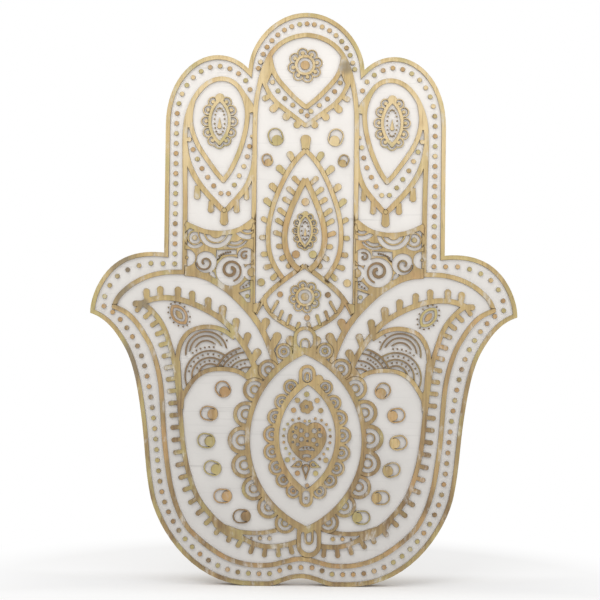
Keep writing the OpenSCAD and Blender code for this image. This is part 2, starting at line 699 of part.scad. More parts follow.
module heart_flower() {
  inlay() translate([4, 187]) difference() {
    for (i = [0:1:5])
      rotate(i * 60 + 15) translate([0, 4.2]) circle(3.2);
    circle(1.9);
  }
}
module sprig_leaf(r, l) {
  difference() {
    leaf(r, l);
    translate([0, -0.4]) leaf(r - 1.8, l - 5);
  }
}
module heart_sprig() {
  inlay() {
    translate([4, 123]) sprig_leaf(4.1, 12.8);
    translate([-3.4, 127]) rotate(-70) sprig_leaf(3.7, 8.8);
    translate([11.2, 126.8]) rotate(70) sprig_leaf(3.6, 9);
  }
}
module heart_beads() {
  inlay() translate([4.75, 150]) {
    both() {
      bead_row(spl([[-2.4, 22], [-8.4, 24.6], [-14, 23.6], [-19.5, 19.4], [-23.6, 14], [-24.4, 7], [-24.2, 0],
        [-22, -6.4], [-18, -12], [-13.6, -17.4]]), 10, 1.45);
      for (q = [[-10.3, 43.6], [-14.2, 33.2], [-20.1, -18.6], [-9.5, -32.4]])
        translate(q) circle(2.7);
    }
    translate([-0.75, 50]) circle(2.8);
    translate([0.7, -45]) circle(2);
  }
}
module seeds(c, r, a, b, n) {
  for (i = [0:1:n - 1])
    translate(c + r * [cos(a + (b - a) * i / (n - 1)), sin(a + (b - a) * i / (n - 1))]) circle(seed_r);
}
module paisley_seeds(w, h, n) {
  for (i = [0:1:n - 1])
    translate([w * sin(360 * i / n), h * cos(360 * i / n)]) circle(seed_r * 0.9);
}
module seed_beads() {
  inlay() {
    both() {
      seeds([-97, 218], 30.4, 84, 128, 6);
      seeds([-97, 218], 22.8, 68, 168, 8);
      seeds([-97, 218], 15.9, 75, 150, 5);
      seeds([-58, 214], 31.9, 113, 151, 5);
      seeds([-58, 214], 25.5, 112, 142, 5);
      seeds([-58, 214], 17.6, 100, 128, 3);
      seeds([-101.5, 243], 24.7, 30, 50, 2);
      seeds([-77, 328], 19.9, 92, 128, 6);
      seeds([-66, 321], 9.6, -74, -36, 3);
      translate([-52, 49.3]) circle(1.1);
      translate([-130.5, 281.8]) rotate(38) paisley_seeds(9.8, 14.1, 14);
      translate([-90.5, 485]) paisley_seeds(5.3, 14, 18);
    }
    translate([0.5, 371]) paisley_seeds(3.6, 9.6, 12);
    translate([4.75, 150]) for (x = [-3.6, 0, 3.6]) translate([x, -6 - abs(x) * 0.1]) circle(seed_r);
  }
}

// Hangers and pads on the back.
module hanger_straps() {
  color(steel)
    for (s = [-1, 1])
      translate([s * hanger_x, back_y, hanger_z]) difference() {
        union() {
          translate([-strap_w / 2, 0, -strap_len + strap_w / 2]) cube([strap_w, strap_t, strap_len - strap_w / 2]);
          translate([0, 0, -strap_len + strap_w / 2]) rotate([-90, 0, 0]) cylinder(h = strap_t, d = strap_w);
          translate([-strap_w / 2, axis_y - back_y, 0]) rotate([0, 90, 0])
            cylinder(h = strap_w, r = eye_r + strap_t);
        }
        translate([-strap_w / 2 - 1, axis_y - back_y, 0]) rotate([0, 90, 0]) cylinder(h = strap_w + 2, r = eye_r);
        for (z = screw_drops)
          translate([0, -1, -z]) rotate([-90, 0, 0]) cylinder(h = strap_t + 2, d = screw_d + 0.4);
      }
}
module pull_ring(s) {
  r = (ring_w + wire_d) / 2;
  color(steel) translate([s * hanger_x, axis_y, hanger_z]) {
    translate([-r, 0, 0]) rotate([0, 90, 0]) cylinder(h = 2 * r, d = wire_d);
    for (e = [-1, 1]) {
      translate([e * r, 0, 0]) sphere(d = wire_d);
      translate([e * r, 0, -(ring_drop - r)]) cylinder(h = ring_drop - r, d = wire_d);
    }
    translate([0, 0, -(ring_drop - r)]) rotate([90, 180, 0]) rotate_extrude(angle = 180) translate([r, 0])
      circle(d = wire_d);
  }
}
module ring_left() {
  pull_ring(-1);
}
module ring_right() {
  pull_ring(1);
}
module hanger_screws() {
  color(steel) at_screws() difference() {
    union() {
      translate([0, 0, -strap_t]) cylinder(h = screw_len, d = screw_d);
      translate([0, 0, -strap_t - head_t]) cylinder(h = head_t, d1 = head_d - 2.2, d2 = head_d);
    }
    translate([0, 0, -strap_t - head_t]) cube([4.2, 0.9, 2.4], center = true);
    translate([0, 0, -strap_t - head_t]) cube([0.9, 4.2, 2.4], center = true);
  }
}
module rubber_pads() {
  color([0.12, 0.12, 0.12])
    for (s = [-1, 1])
      translate([s * pad_x, back_y, pad_z]) rotate([-90, 0, 0]) cylinder(h = pad_t, d1 = pad_d, d2 = pad_d - 2);
}

back_ply();
rear_cross_ply();
core_ply();
ground_ply();
outer_rim();
border_beads();
mandorla_frame();
scroll_panels();
palm_frames();
finger_frames();
fan_ribs();
scrolls();
finger_beads();
round_studs();
top_flower();
palm_flower();
flower_eyes();
side_paisleys();
finger_paisley();
leaf_ovals();
eye_discs();
inner_almond();
heart();
heart_flower();
heart_sprig();
heart_beads();
seed_beads();
hanger_straps();
ring_left();
ring_right();
hanger_screws();
rubber_pads();
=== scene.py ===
"""Looks of a carved wooden hamsa hand wall plaque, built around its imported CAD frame."""

import logging
import math
from dataclasses import dataclass
from enum import Enum
from typing import Iterable, Optional, Sequence, Union

import bmesh
import bpy
from mathutils import Euler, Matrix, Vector
from mathutils.kdtree import KDTree


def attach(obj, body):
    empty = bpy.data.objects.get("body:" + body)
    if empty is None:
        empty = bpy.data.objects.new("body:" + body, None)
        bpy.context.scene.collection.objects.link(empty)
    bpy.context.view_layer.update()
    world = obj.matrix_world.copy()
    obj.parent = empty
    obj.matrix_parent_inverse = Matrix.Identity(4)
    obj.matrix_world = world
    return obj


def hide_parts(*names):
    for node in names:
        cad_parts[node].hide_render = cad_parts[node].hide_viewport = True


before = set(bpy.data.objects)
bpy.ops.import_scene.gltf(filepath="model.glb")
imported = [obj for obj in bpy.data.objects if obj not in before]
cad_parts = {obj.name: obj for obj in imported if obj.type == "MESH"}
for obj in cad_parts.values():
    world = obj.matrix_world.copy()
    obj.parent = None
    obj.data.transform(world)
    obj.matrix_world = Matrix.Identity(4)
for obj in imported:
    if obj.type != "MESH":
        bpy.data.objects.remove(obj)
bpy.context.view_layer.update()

LOG = logging.getLogger("hamsa_plaque")
FRONT = -0.01065
FACE_BACK = -0.00765


class Cut(Enum):
    """How the walls of a face piece were cut."""

    SLOPED = "sloped on every side"
    RIM = "sloped inside, square on the plaque's own edge"


class Grain(Enum):
    """Which way a veneer's grain runs."""

    UPRIGHT = (1.0, 1.0, 0.055)
    LEVEL = (0.055, 1.0, 1.0)


Number = Union[float, "Sock"]
Rgb = tuple[float, float, float]


@dataclass(frozen=True)
class Step:
    """A smooth step from nothing at one value to its full strength at another."""

    start: float
    end: float
    strength: float = 1.0


class Sock:
    """One shader value that adds Math nodes to its tree when it is computed with."""

    def __init__(self, looks: "Looks", link: bpy.types.NodeSocket) -> None:
        """Wraps one output socket of a node in the given tree."""
        self.looks = looks
        self.link = link

    def maths(self, operation: str, *others: Number, clamp: bool = False) -> "Sock":
        """Adds one Math node.

        Args:
            operation: the Math node's operation.
            others: the values or sockets after the first one.
            clamp: whether the result is kept between 0 and 1.
        Returns:
            The node's result.
        """
        values = {i: v for i, v in enumerate((self, *others))}
        return self.looks.add("ShaderNodeMath", {"operation": operation, "use_clamp": clamp}, values)

    def __add__(self, other: Number) -> "Sock":
        """Sum."""
        return self.maths("ADD", other)

    __radd__ = __add__

    def __sub__(self, other: Number) -> "Sock":
        """Difference."""
        return self.maths("SUBTRACT", other)

    def __rsub__(self, other: Number) -> "Sock":
        """Difference with the value second."""
        return self.looks.add("ShaderNodeMath", {"operation": "SUBTRACT"}, {0: other, 1: self})

    def __mul__(self, other: Number) -> "Sock":
        """Product."""
        return self.maths("MULTIPLY", other)

    __rmul__ = __mul__

    def __abs__(self) -> "Sock":
        """Size without sign."""
        return self.maths("ABSOLUTE")

    def other(self, output: str) -> "Sock":
        """Another output of the same node."""
        return Sock(self.looks, self.link.node.outputs[output])

    def clamped(self) -> "Sock":
        """The value kept between 0 and 1."""
        return self.maths("ADD", 0.0, clamp=True)

    def between(self, low: float, high: float) -> "Sock":
        """A smooth step from 0 at low to 1 at high, where high may also be the smaller of the two.

        Args:
            low: the value that gives 0.
            high: the value that gives 1.
        Returns:
            The step, from 0 to 1.
        """
        first, last, ends = (low, high, (0.0, 1.0)) if low < high else (high, low, (1.0, 0.0))
        return self.looks.add("ShaderNodeMapRange", {"interpolation_type": "SMOOTHSTEP"},
                              {"Value": self, "From Min": first, "From Max": last,
                               "To Min": ends[0], "To Max": ends[1]})

    def stepped(self, step: Step) -> "Sock":
        """How far up a step the value has gone."""
        return self.between(step.start, step.end) * step.strength


Colour = Union[Rgb, Sock]


@dataclass(frozen=True)
class Texture:
    """One noise pattern, by its repeats per metre along each axis."""

    scale: tuple[float, float, float]
    shift: tuple[float, float, float] = (0.0, 0.0, 0.0)
    detail: float = 2.0
    rough: float = 0.5


class Looks:
    """One node tree, of a material or the world, with methods for the nodes that the finishes use."""

    def __init__(self, owner: Union[bpy.types.Material, bpy.types.World]) -> None:
        """Empties the owner's node tree.

        Args:
            owner: the material or world that has the tree.
        """
        self.owner = owner
        owner.use_nodes = True
        self.nodes = owner.node_tree.nodes
        self.links = owner.node_tree.links
        self.nodes.clear()

    @classmethod
    def named(cls, name: str) -> "Looks":
        """Makes a new material with an empty tree."""
        return cls(bpy.data.materials.new(name))

    def add(self, kind: str, settings: Optional[dict] = None, inputs: Optional[dict] = None,
            output: Union[int, str] = 0) -> Sock:
        """Adds one node.

        Args:
            kind: the node's type.
            settings: its properties, set before its sockets.
            inputs: socket name or number to a value, a colour or another Sock.
            output: the wanted output's name or number.
        Returns:
            That output.
        """
        node = self.nodes.new(kind)
        for key, value in (settings or {}).items():
            setattr(node, key, value)
        for key, value in (inputs or {}).items():
            self.plug(node.inputs[key], value)
        return Sock(self, node.outputs[output])

    def plug(self, socket: bpy.types.NodeSocket, value: object) -> None:
        """Links or sets one input socket.

        Args:
            socket: the input.
            value: a Sock to link, or a value or colour to set.
        """
        if isinstance(value, Sock):
            self.links.new(value.link, socket)
        elif socket.type == "RGBA" and len(value) == 3:
            socket.default_value = (*value, 1.0)
        else:
            socket.default_value = value

    def mix(self, low: Colour, high: Colour, factor: Number) -> Sock:
        """Blends two colours, from low at factor 0 to high at factor 1."""
        return self.add("ShaderNodeMix", {"data_type": "RGBA"}, {0: factor, 6: low, 7: high}, output=2)

    def place(self) -> Sock:
        """Where a point lies on the piece, in metres."""
        return self.add("ShaderNodeTexCoord", output="Object")

    def axis(self, vector: Sock, which: str) -> Sock:
        """One component of a vector."""
        return self.add("ShaderNodeSeparateXYZ", inputs={0: vector}, output=which)

    def stretched(self, vector: Sock, scale: Sequence[float], shift: Sequence[float] = (0, 0, 0)) -> Sock:
        """A point scaled along each axis, then moved."""
        scaled = self.add("ShaderNodeVectorMath", {"operation": "MULTIPLY"}, {0: vector, 1: tuple(scale)})
        return self.add("ShaderNodeVectorMath", {"operation": "ADD"}, {0: scaled, 1: tuple(shift)})

    def noise(self, place: Sock, texture: Texture) -> Sock:
        """A cloudy value from 0 to 1.

        Args:
            place: the point on the piece.
            texture: the pattern.
        Returns:
            The value.
        """
        return self.add("ShaderNodeTexNoise", {"noise_dimensions": "3D"},
                        {"Vector": self.stretched(place, texture.scale, texture.shift), "Scale": 1.0,
                         "Detail": texture.detail, "Roughness": texture.rough})

    def away(self, place: Sock, at: Sequence[float], stretch: Sequence[float] = (1.0, 0.0, 1.0)) -> Sock:
        """The distance from a point of the face, in metres.

        Args:
            place: the point on the piece.
            at: the X and Z that it is measured from.
            stretch: how much each axis counts.
        Returns:
            The distance.
        """
        return self.add("ShaderNodeVectorMath", {"operation": "DISTANCE"},
                        {0: self.stretched(place, stretch), 1: (at[0] * stretch[0], 0.0, at[1] * stretch[2])},
                        output="Value")

    def ramp(self, value: Sock, stops: Iterable[tuple[float, Sequence[float]]]) -> Sock:
        """A colour that runs through stops.

        Args:
            value: where on the ramp.
            stops: pairs of place and colour, in order.
        Returns:
            The colour.
        """
        node = self.nodes.new("ShaderNodeValToRGB")
        marks = node.color_ramp.elements
        for number, (at, colour) in enumerate(stops):
            mark = marks[number] if number < 2 else marks.new(at)
            mark.position = at
            mark.color = (*colour, 1.0)
        self.plug(node.inputs[0], value)
        return Sock(self, node.outputs[0])

    def facing(self, which: str) -> Sock:
        """One component of the surface's own normal."""
        return self.axis(self.add("ShaderNodeNewGeometry", output="Normal"), which)

    def bump(self, height: Sock, strength: float, distance: float) -> Sock:
        """A normal that follows a height."""
        return self.add("ShaderNodeBump",
                        inputs={"Height": height, "Strength": strength, "Distance": distance})

    def surface(self, **sockets: object) -> bpy.types.Material:
        """Ends the tree in a Principled shader.

        Args:
            sockets: socket name, with _ for a space, to its value or link.
        Returns:
            The finished material.
        """
        shader = self.add("ShaderNodeBsdfPrincipled",
                          inputs={name.replace("_", " "): value for name, value in sockets.items()})
        self.add_output(shader)
        return self.owner

    def add_output(self, shader: Sock, kind: str = "ShaderNodeOutputMaterial") -> None:
        """Puts a shader on the surface."""
        node = self.nodes.new(kind)
        self.links.new(shader.link, node.inputs["Surface"])


@dataclass(frozen=True)
class CarvedWood:
    """Golden face wood with upright grain, painted shade low down, cut walls burnt brown and paint left here
    and there.
    """

    name: str
    pale: Rgb = (0.64, 0.500, 0.280)
    gold: Rgb = (0.475, 0.350, 0.162)
    tan: Rgb = (0.335, 0.240, 0.115)
    brown: Rgb = (0.20, 0.132, 0.068)
    olive: Rgb = (0.41, 0.350, 0.150)
    russet: Rgb = (0.44, 0.270, 0.125)
    burnt: Rgb = (0.105, 0.062, 0.031)
    paint: Rgb = (0.58, 0.57, 0.54)
    wash: Rgb = (0.76, 0.73, 0.70)
    soot: Rgb = (0.165, 0.140, 0.105)

    island_spread: float = 0.55
    hue_spread: float = 0.35
    depth: float = 0.0
    paint_left: float = 1.0

    cloud_pull: float = 0.9
    streak_pull: float = 0.75
    # how strongly the painted shade darkens the wood low down
    painted_shade_pull: float = 0.72
    grain_pull: float = 0.8
    stain_pull: float = 3.2
    olive_share: float = 0.72
    russet_share: float = 0.66
    deep_fade: float = 0.6

    # painted shade: this step darkens the wood towards the plaque's foot
    painted_shade_rise: Step = Step(0.05, 0.58)
    dark_flecks: Step = Step(0.56, 0.76, 0.38)
    paint_edge: Step = Step(0.52, 0.68)
    off_heart: Step = Step(0.03, 0.07)
    wall: Step = Step(0.93, 0.55)
    washed_foot: Step = Step(0.0010, 0.0019, 0.85)

    grain: Texture = Texture((420.0, 30.0, 13.0), detail=4.0, rough=0.62)
    streaks: Texture = Texture((95.0, 10.0, 4.5), (3.1, 0.0, 1.7))
    clouds: Texture = Texture((9.0, 1.0, 7.0), (1.3, 0.0, 5.2))
    flecks: Texture = Texture((900.0, 60.0, 70.0))
    stains: Texture = Texture((38.0, 1.0, 21.0), (5.0, 0.0, 9.0), 3.0, 0.6)
    paint_patches: Texture = Texture((75.0, 1.0, 34.0), (8.0, 0.0, 2.0), 5.0, 0.70)

    heart_at: tuple[float, float] = (0.004, 0.150)
    heart_stretch: tuple[float, float, float] = (1.0, 0.0, 0.8)
    soot_at: tuple[tuple[float, float, float], ...] = ((-0.188, 0.331, 0.022), (-0.186, 0.300, 0.020),
                                                       (-0.181, 0.232, 0.030), (-0.168, 0.291, 0.010),
                                                       (0.042, 0.543, 0.010))

    def make(self) -> bpy.types.Material:
        """Builds the material.

        Returns:
            The finished material.
        """
        looks = Looks.named(self.name)
        place = looks.place()
        grain = looks.noise(place, self.grain)
        streak = looks.noise(place, self.streaks)
        fleck = looks.noise(place, self.flecks)
        wood = self.bare_wood(looks, place, grain, streak)
        wood = looks.mix(wood, self.burnt, fleck.stepped(self.dark_flecks))
        wood = looks.mix(wood, self.paint, self.paint_remains(looks, place, grain))
        smudge = self.smudges(looks, place) * (0.5 + 0.8 * (streak - 0.3))
        wood = looks.mix(wood, self.soot, smudge.clamped())
        wall = abs(looks.facing("Y")).stepped(self.wall)
        scorch = wall * (0.80 + 0.5 * (streak - 0.5))
        colour = looks.mix(wood, self.burnt, scorch.clamped())
        below = looks.axis(place, "Y") - FRONT
        colour = looks.mix(colour, self.wash, wall * below.stepped(self.washed_foot))
        return looks.surface(Base_Color=colour, Roughness=0.62 + 0.2 * (grain - 0.5),
                             Specular_IOR_Level=0.3,
                             Normal=looks.bump(grain * 0.6 + fleck * 0.4, 0.35, 0.0004))

    def bare_wood(self, looks: Looks, place: Sock, grain: Sock, streak: Sock) -> Sock:
        """The wood's colour, with painted shade that darkens it low down, and different from one loose piece
        to the next.

        Args:
            looks: the material's tree.
            place: the point on the plaque.
            grain: the fine upright grain.
            streak: the broad upright streaks.
        Returns:
            The colour.
        """
        cloud = looks.noise(place, self.clouds)
        island = looks.add("ShaderNodeNewGeometry", output="Random Per Island")
        # painted shade: the height sets how much darker the wood is made low down
        height = looks.axis(place, "Z").stepped(self.painted_shade_rise)
        tone = (island - 0.5) * self.island_spread + (cloud - 0.5) * self.cloud_pull
        tone = tone + (streak - 0.5) * self.streak_pull + (height - 0.5) * self.painted_shade_pull
        tone = (tone + (grain - 0.5) * self.grain_pull + 0.5 - self.depth).clamped()
        wood = looks.ramp(tone, ((0.0, self.brown), (0.3, self.tan), (0.62, self.gold), (1.0, self.pale)))
        piece_hue = (island * 7.31).maths("FRACT") - 0.5
        stain = looks.noise(place, self.stains) - 0.5
        turn = stain * self.stain_pull + piece_hue * self.hue_spread * 2.0
        fade = self.deep_fade * self.depth
        wood = looks.mix(wood, self.olive, turn.between(0.06, 0.75) * (self.olive_share - fade))
        return looks.mix(wood, self.russet, turn.between(-0.14, -0.80) * (self.russet_share - fade))

    def paint_remains(self, looks: Looks, place: Sock, grain: Sock) -> Sock:
        """Says where paint was left in the grain: in patches, and least round the heart.

        Args:
            looks: the material's tree.
            place: the point on the plaque.
            grain: the fine upright grain.
        Returns:
            A value from 0 to 1.
        """
        patch = looks.noise(place, self.paint_patches).stepped(self.paint_edge)
        outside = looks.away(place, self.heart_at, self.heart_stretch).stepped(self.off_heart)
        return (patch * (0.25 + 0.75 * outside) * self.paint_left * (0.42 + 0.45 * grain)).clamped()

    def smudges(self, looks: Looks, place: Sock) -> Sock:
        """Marks where the burner left grey soot on the bands.

        Args:
            looks: the material's tree.
            place: the point on the plaque.
        Returns:
            A value from 0 to 1.
        """
        marks = [looks.away(place, (x, z)).between(reach, reach * 0.35) for x, z, reach in self.soot_at]
        worst = marks[0]
        for mark in marks[1:]:
            worst = worst.maths("MAXIMUM", mark)
        return worst


@dataclass(frozen=True)
class WhiteGround:
    """Thin white paint over a cross veneer, greyed low down by painted shade, worn in spots and bare on its
    edge.
    """

    name: str = "white_ground"
    bright: Rgb = (0.765, 0.735, 0.70)
    # dull: the grey that the painted shade low down and the cloudy variation pull the paint towards
    dull: Rgb = (0.555, 0.537, 0.515)
    line: Rgb = (0.40, 0.385, 0.365)
    bare: Rgb = (0.42, 0.29, 0.15)

    # painted shade: this step greys the paint towards the plaque's foot
    painted_shade_rise: Step = Step(0.10, 0.56)
    line_edge: Step = Step(0.585, 0.72, 0.42)
    scratch_edge: Step = Step(0.64, 0.78, 0.34)
    worn_edge: Step = Step(0.70, 0.80, 0.35)
    front_face: Step = Step(0.4, 0.7)

    clouds: Texture = Texture((16.0, 1.0, 22.0), (4.0, 0.0, 0.0), 3.0, 0.55)
    veneer_lines: Texture = Texture((7.0, 1.0, 230.0), detail=3.0, rough=0.6)
    scratches: Texture = Texture((22.0, 1.0, 620.0), (0.0, 0.0, 9.0))
    brush_marks: Texture = Texture((60.0, 1.0, 900.0))
    worn_spots: Texture = Texture((70.0, 1.0, 110.0), (2.0, 0.0, 6.0), 4.0, 0.6)

    def make(self) -> bpy.types.Material:
        """Builds the material.

        Returns:
            The finished material.
        """
        looks = Looks.named(self.name)
        place = looks.place()
        height = looks.axis(place, "Z").stepped(self.painted_shade_rise)
        cloud = looks.noise(place, self.clouds)
        level = looks.noise(place, self.veneer_lines)
        scratch = looks.noise(place, self.scratches)
        brush = looks.noise(place, self.brush_marks)
        # painted shade: the paint is mixed towards the dull grey low down
        body = looks.mix(self.dull, self.bright, (height * 0.85 + (cloud - 0.5) * 0.55 + 0.08).clamped())
        lines = level.stepped(self.line_edge) + scratch.stepped(self.scratch_edge)
        painted = looks.mix(body, self.line, lines.clamped() * (0.45 + 0.55 * cloud.between(0.35, 0.65)))
        worn = looks.noise(place, self.worn_spots).stepped(self.worn_edge)
        painted = looks.mix(painted, self.bare, worn)
        front = (0 - looks.facing("Y")).stepped(self.front_face)
        return looks.surface(Base_Color=looks.mix(self.bare, painted, front),
                             Roughness=0.72 + 0.2 * (cloud - 0.5), Specular_IOR_Level=0.25,
                             Normal=looks.bump(brush * 0.5 + level * 0.5, 0.30, 0.0003))


@dataclass(frozen=True)
class Veneer:
    """Raw plywood veneer: its grain on the broad faces, and a darker, saw-marked edge."""

    name: str
    grain: Grain
    light: Rgb = (0.56, 0.41, 0.23)
    dark: Rgb = (0.36, 0.23, 0.11)
    fibre_scale: float = 380.0
    band_scale: float = 45.0
    pore_scale: float = 1500.0
    saw_marks: Texture = Texture((140.0, 2600.0, 140.0))
    open_pores: Step = Step(0.62, 0.75, 0.5)
    sawn_edge: Step = Step(0.8, 0.4)
    sawn_shade: float = 0.62

    def make(self) -> bpy.types.Material:
        """Builds the material.

        Returns:
            The finished material.
        """
        looks = Looks.named(self.name)
        place = looks.place()
        fibre = looks.noise(place, Texture(self.along(self.fibre_scale), detail=4.0, rough=0.6))
        band = looks.noise(place, Texture(self.along(self.band_scale), (2.0, 0.0, 3.0)))
        pore = looks.noise(place, Texture(self.along(self.pore_scale), detail=1.0))
        tone = (0.5 + (fibre - 0.5) * 0.9 + (band - 0.5) * 1.1).clamped()
        colour = looks.mix(self.dark, self.light, tone)
        colour = looks.mix(colour, self.dark, pore.stepped(self.open_pores))
        edge = abs(looks.facing("Y")).stepped(self.sawn_edge)
        sawn = tuple(c * self.sawn_shade for c in self.dark)
        colour = looks.mix(colour, sawn, edge * (0.25 + 0.5 * looks.noise(place, self.saw_marks)))
        return looks.surface(Base_Color=colour, Roughness=0.70 + 0.2 * (fibre - 0.5),
                             Specular_IOR_Level=0.25, Normal=looks.bump(fibre, 0.3, 0.0003))

    def along(self, scale: float) -> tuple[float, ...]:
        """A scale that is stretched along the grain."""
        return tuple(scale * a for a in self.grain.value)


@dataclass(frozen=True)
class ZincSteel:
    """Zinc plated hanger steel with a dulled spangle and fine rub marks."""

    name: str = "zinc_steel"
    bright: Rgb = (0.66, 0.66, 0.64)
    dull: Rgb = (0.44, 0.44, 0.43)
    spangle: Texture = Texture((260.0, 260.0, 260.0), detail=3.0, rough=0.6)
    rub_marks: Texture = Texture((2600.0, 900.0, 160.0))

    def make(self) -> bpy.types.Material:
        """Builds the material.

        Returns:
            The finished material.
        """
        looks = Looks.named(self.name)
        place = looks.place()
        cloud = looks.noise(place, self.spangle)
        rub = looks.noise(place, self.rub_marks)
        colour = looks.mix(self.dull, self.bright, cloud.between(0.35, 0.65))
        return looks.surface(Base_Color=colour, Metallic=1.0, Roughness=0.30 + 0.22 * rub,
                             Normal=looks.bump(rub, 0.12, 0.0001))


@dataclass(frozen=True)
class PadRubber:
    """Black pad rubber with a dusty bloom."""

    name: str = "pad_rubber"
    black: Rgb = (0.018, 0.018, 0.018)
    dust: Rgb = (0.075, 0.072, 0.068)
    bloom: Texture = Texture((420.0, 420.0, 420.0), detail=4.0, rough=0.6)

    def make(self) -> bpy.types.Material:
        """Builds the material.

        Returns:
            The finished material.
        """
        looks = Looks.named(self.name)
        place = looks.place()
        bloom = looks.noise(place, self.bloom)
        colour = looks.mix(self.black, self.dust, bloom.between(0.45, 0.75))
        return looks.surface(Base_Color=colour, Roughness=0.75 + 0.2 * (bloom - 0.5),
                             Normal=looks.bump(bloom, 0.2, 0.0002))


@dataclass(frozen=True)
class Wall:
    """How far a cut wall slopes: in at its top, out at its foot, and the chamfer above it."""

    draw_in: float
    spread: float
    arris: float


BOLD = Wall(0.00022, 0.00035, 0.00025)
FINE = Wall(0.00010, 0.00020, 0.00018)
FLAT = 0.9  # a face whose normal lies this much along Y is flat, and any other is a wall


@dataclass
class FacePiece:
    """One face-ply node, cut again with sloping walls and a soft upper edge."""

    node: str
    cut: Cut = Cut.SLOPED
    wall: Wall = BOLD
    weld: float = 2e-6
    top_within: float = 0.0001
    on_edge_within: float = 0.0002
    chamfer_slope: float = 0.8
    opposed_below: float = 0.3
    corner_limit: float = 0.35

    def build(self, outline: KDTree) -> bpy.types.Object:
        """Makes the piece from its CAD node's own solid.

        Args:
            outline: the ground ply's points, which the plaque's own edge follows.
        Returns:
            The new object, which stands for the node.
        """
        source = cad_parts[self.node]
        mesh = source.data.copy()
        mesh.name = f"carved_{self.node}"
        work = bmesh.new()
        work.from_mesh(mesh)
        bmesh.ops.remove_doubles(work, verts=work.verts, dist=self.weld)
        work.normal_update()
        self.slope(work, outline)
        work.normal_update()
        self.ease(work)
        work.to_mesh(mesh)
        work.free()
        for name in ("custom_normal", "sharp_face"):
            if name in mesh.attributes:
                mesh.attributes.remove(mesh.attributes[name])
        piece = bpy.data.objects.new(mesh.name, mesh)
        bpy.context.scene.collection.objects.link(piece)
        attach(piece, "board")
        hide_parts(self.node)
        return piece

    def ease(self, work: bmesh.types.BMesh) -> None:
        """Takes the sharp upper edge off with a narrow chamfer.

        Args:
            work: the piece's mesh.
        """
        facing = [f for f in work.faces if f.normal.y < -FLAT]
        top = [f for f in facing if f.calc_center_median().y < FRONT + self.top_within]
        corners = {v for f in top for v in f.verts}
        shoulder = [v for v in corners if any(f.normal.y > -FLAT for f in v.link_faces)]
        bmesh.ops.inset_region(work, faces=top, thickness=self.wall.arris, depth=0.0, use_boundary=True,
                               use_even_offset=False)
        for point in shoulder:
            point.co.y += self.wall.arris * self.chamfer_slope

    def slope(self, work: bmesh.types.BMesh, outline: KDTree) -> None:
        """Draws the top ring of each wall in and spreads its foot, so the wall slopes.

        Args:
            work: the piece's mesh.
            outline: the ground ply's points.
        """
        moves: dict[int, Vector] = {}
        for point in work.verts:
            sides = []
            for edge in point.link_edges:
                flats = [f for f in edge.link_faces if abs(f.normal.y) > FLAT]
                walls = [f for f in edge.link_faces if abs(f.normal.y) <= FLAT]
                if flats and walls:
                    sides.append(Vector((walls[0].normal.x, 0.0, walls[0].normal.z)).normalized())
            if not sides:
                continue
            total = sum(sides, Vector())
            if len(sides) == 1 or total.length < self.opposed_below:
                way = sides[0]
            else:
                way = total / max(self.corner_limit, 1.0 + sides[0].dot(sides[1]))
            if point.co.y < (FRONT + FACE_BACK) / 2:
                moves[point.index] = -self.wall.draw_in * way
            elif not self.on_edge(point.co, outline):
                moves[point.index] = self.wall.spread * way
        work.verts.ensure_lookup_table()
        for index, move in moves.items():
            work.verts[index].co += move

    def on_edge(self, point: Vector, outline: KDTree) -> bool:
        """Whether a point of the rim lies on the plaque's own edge, which stays square.

        Args:
            point: the point.
            outline: the ground ply's points.
        Returns:
            True where it does.
        """
        if self.cut is not Cut.RIM:
            return False
        gap = outline.find(Vector((point.x, 0.0, point.z)))[2]
        return gap < self.on_edge_within


def ease_edges(node: bpy.types.Object, width: float, segments: int, angle_deg: float) -> None:
    """Rounds a CAD node's sharp edges with a bevel modifier.

    Args:
        node: the CAD node's object.
        width: the bevel's width in metres.
        segments: how many steps it has.
        angle_deg: the least angle of an edge that it takes.
    """
    soft = node.modifiers.new("eased", "BEVEL")
    soft.width = width
    soft.segments = segments
    soft.limit_method = "ANGLE"
    soft.angle_limit = math.radians(angle_deg)


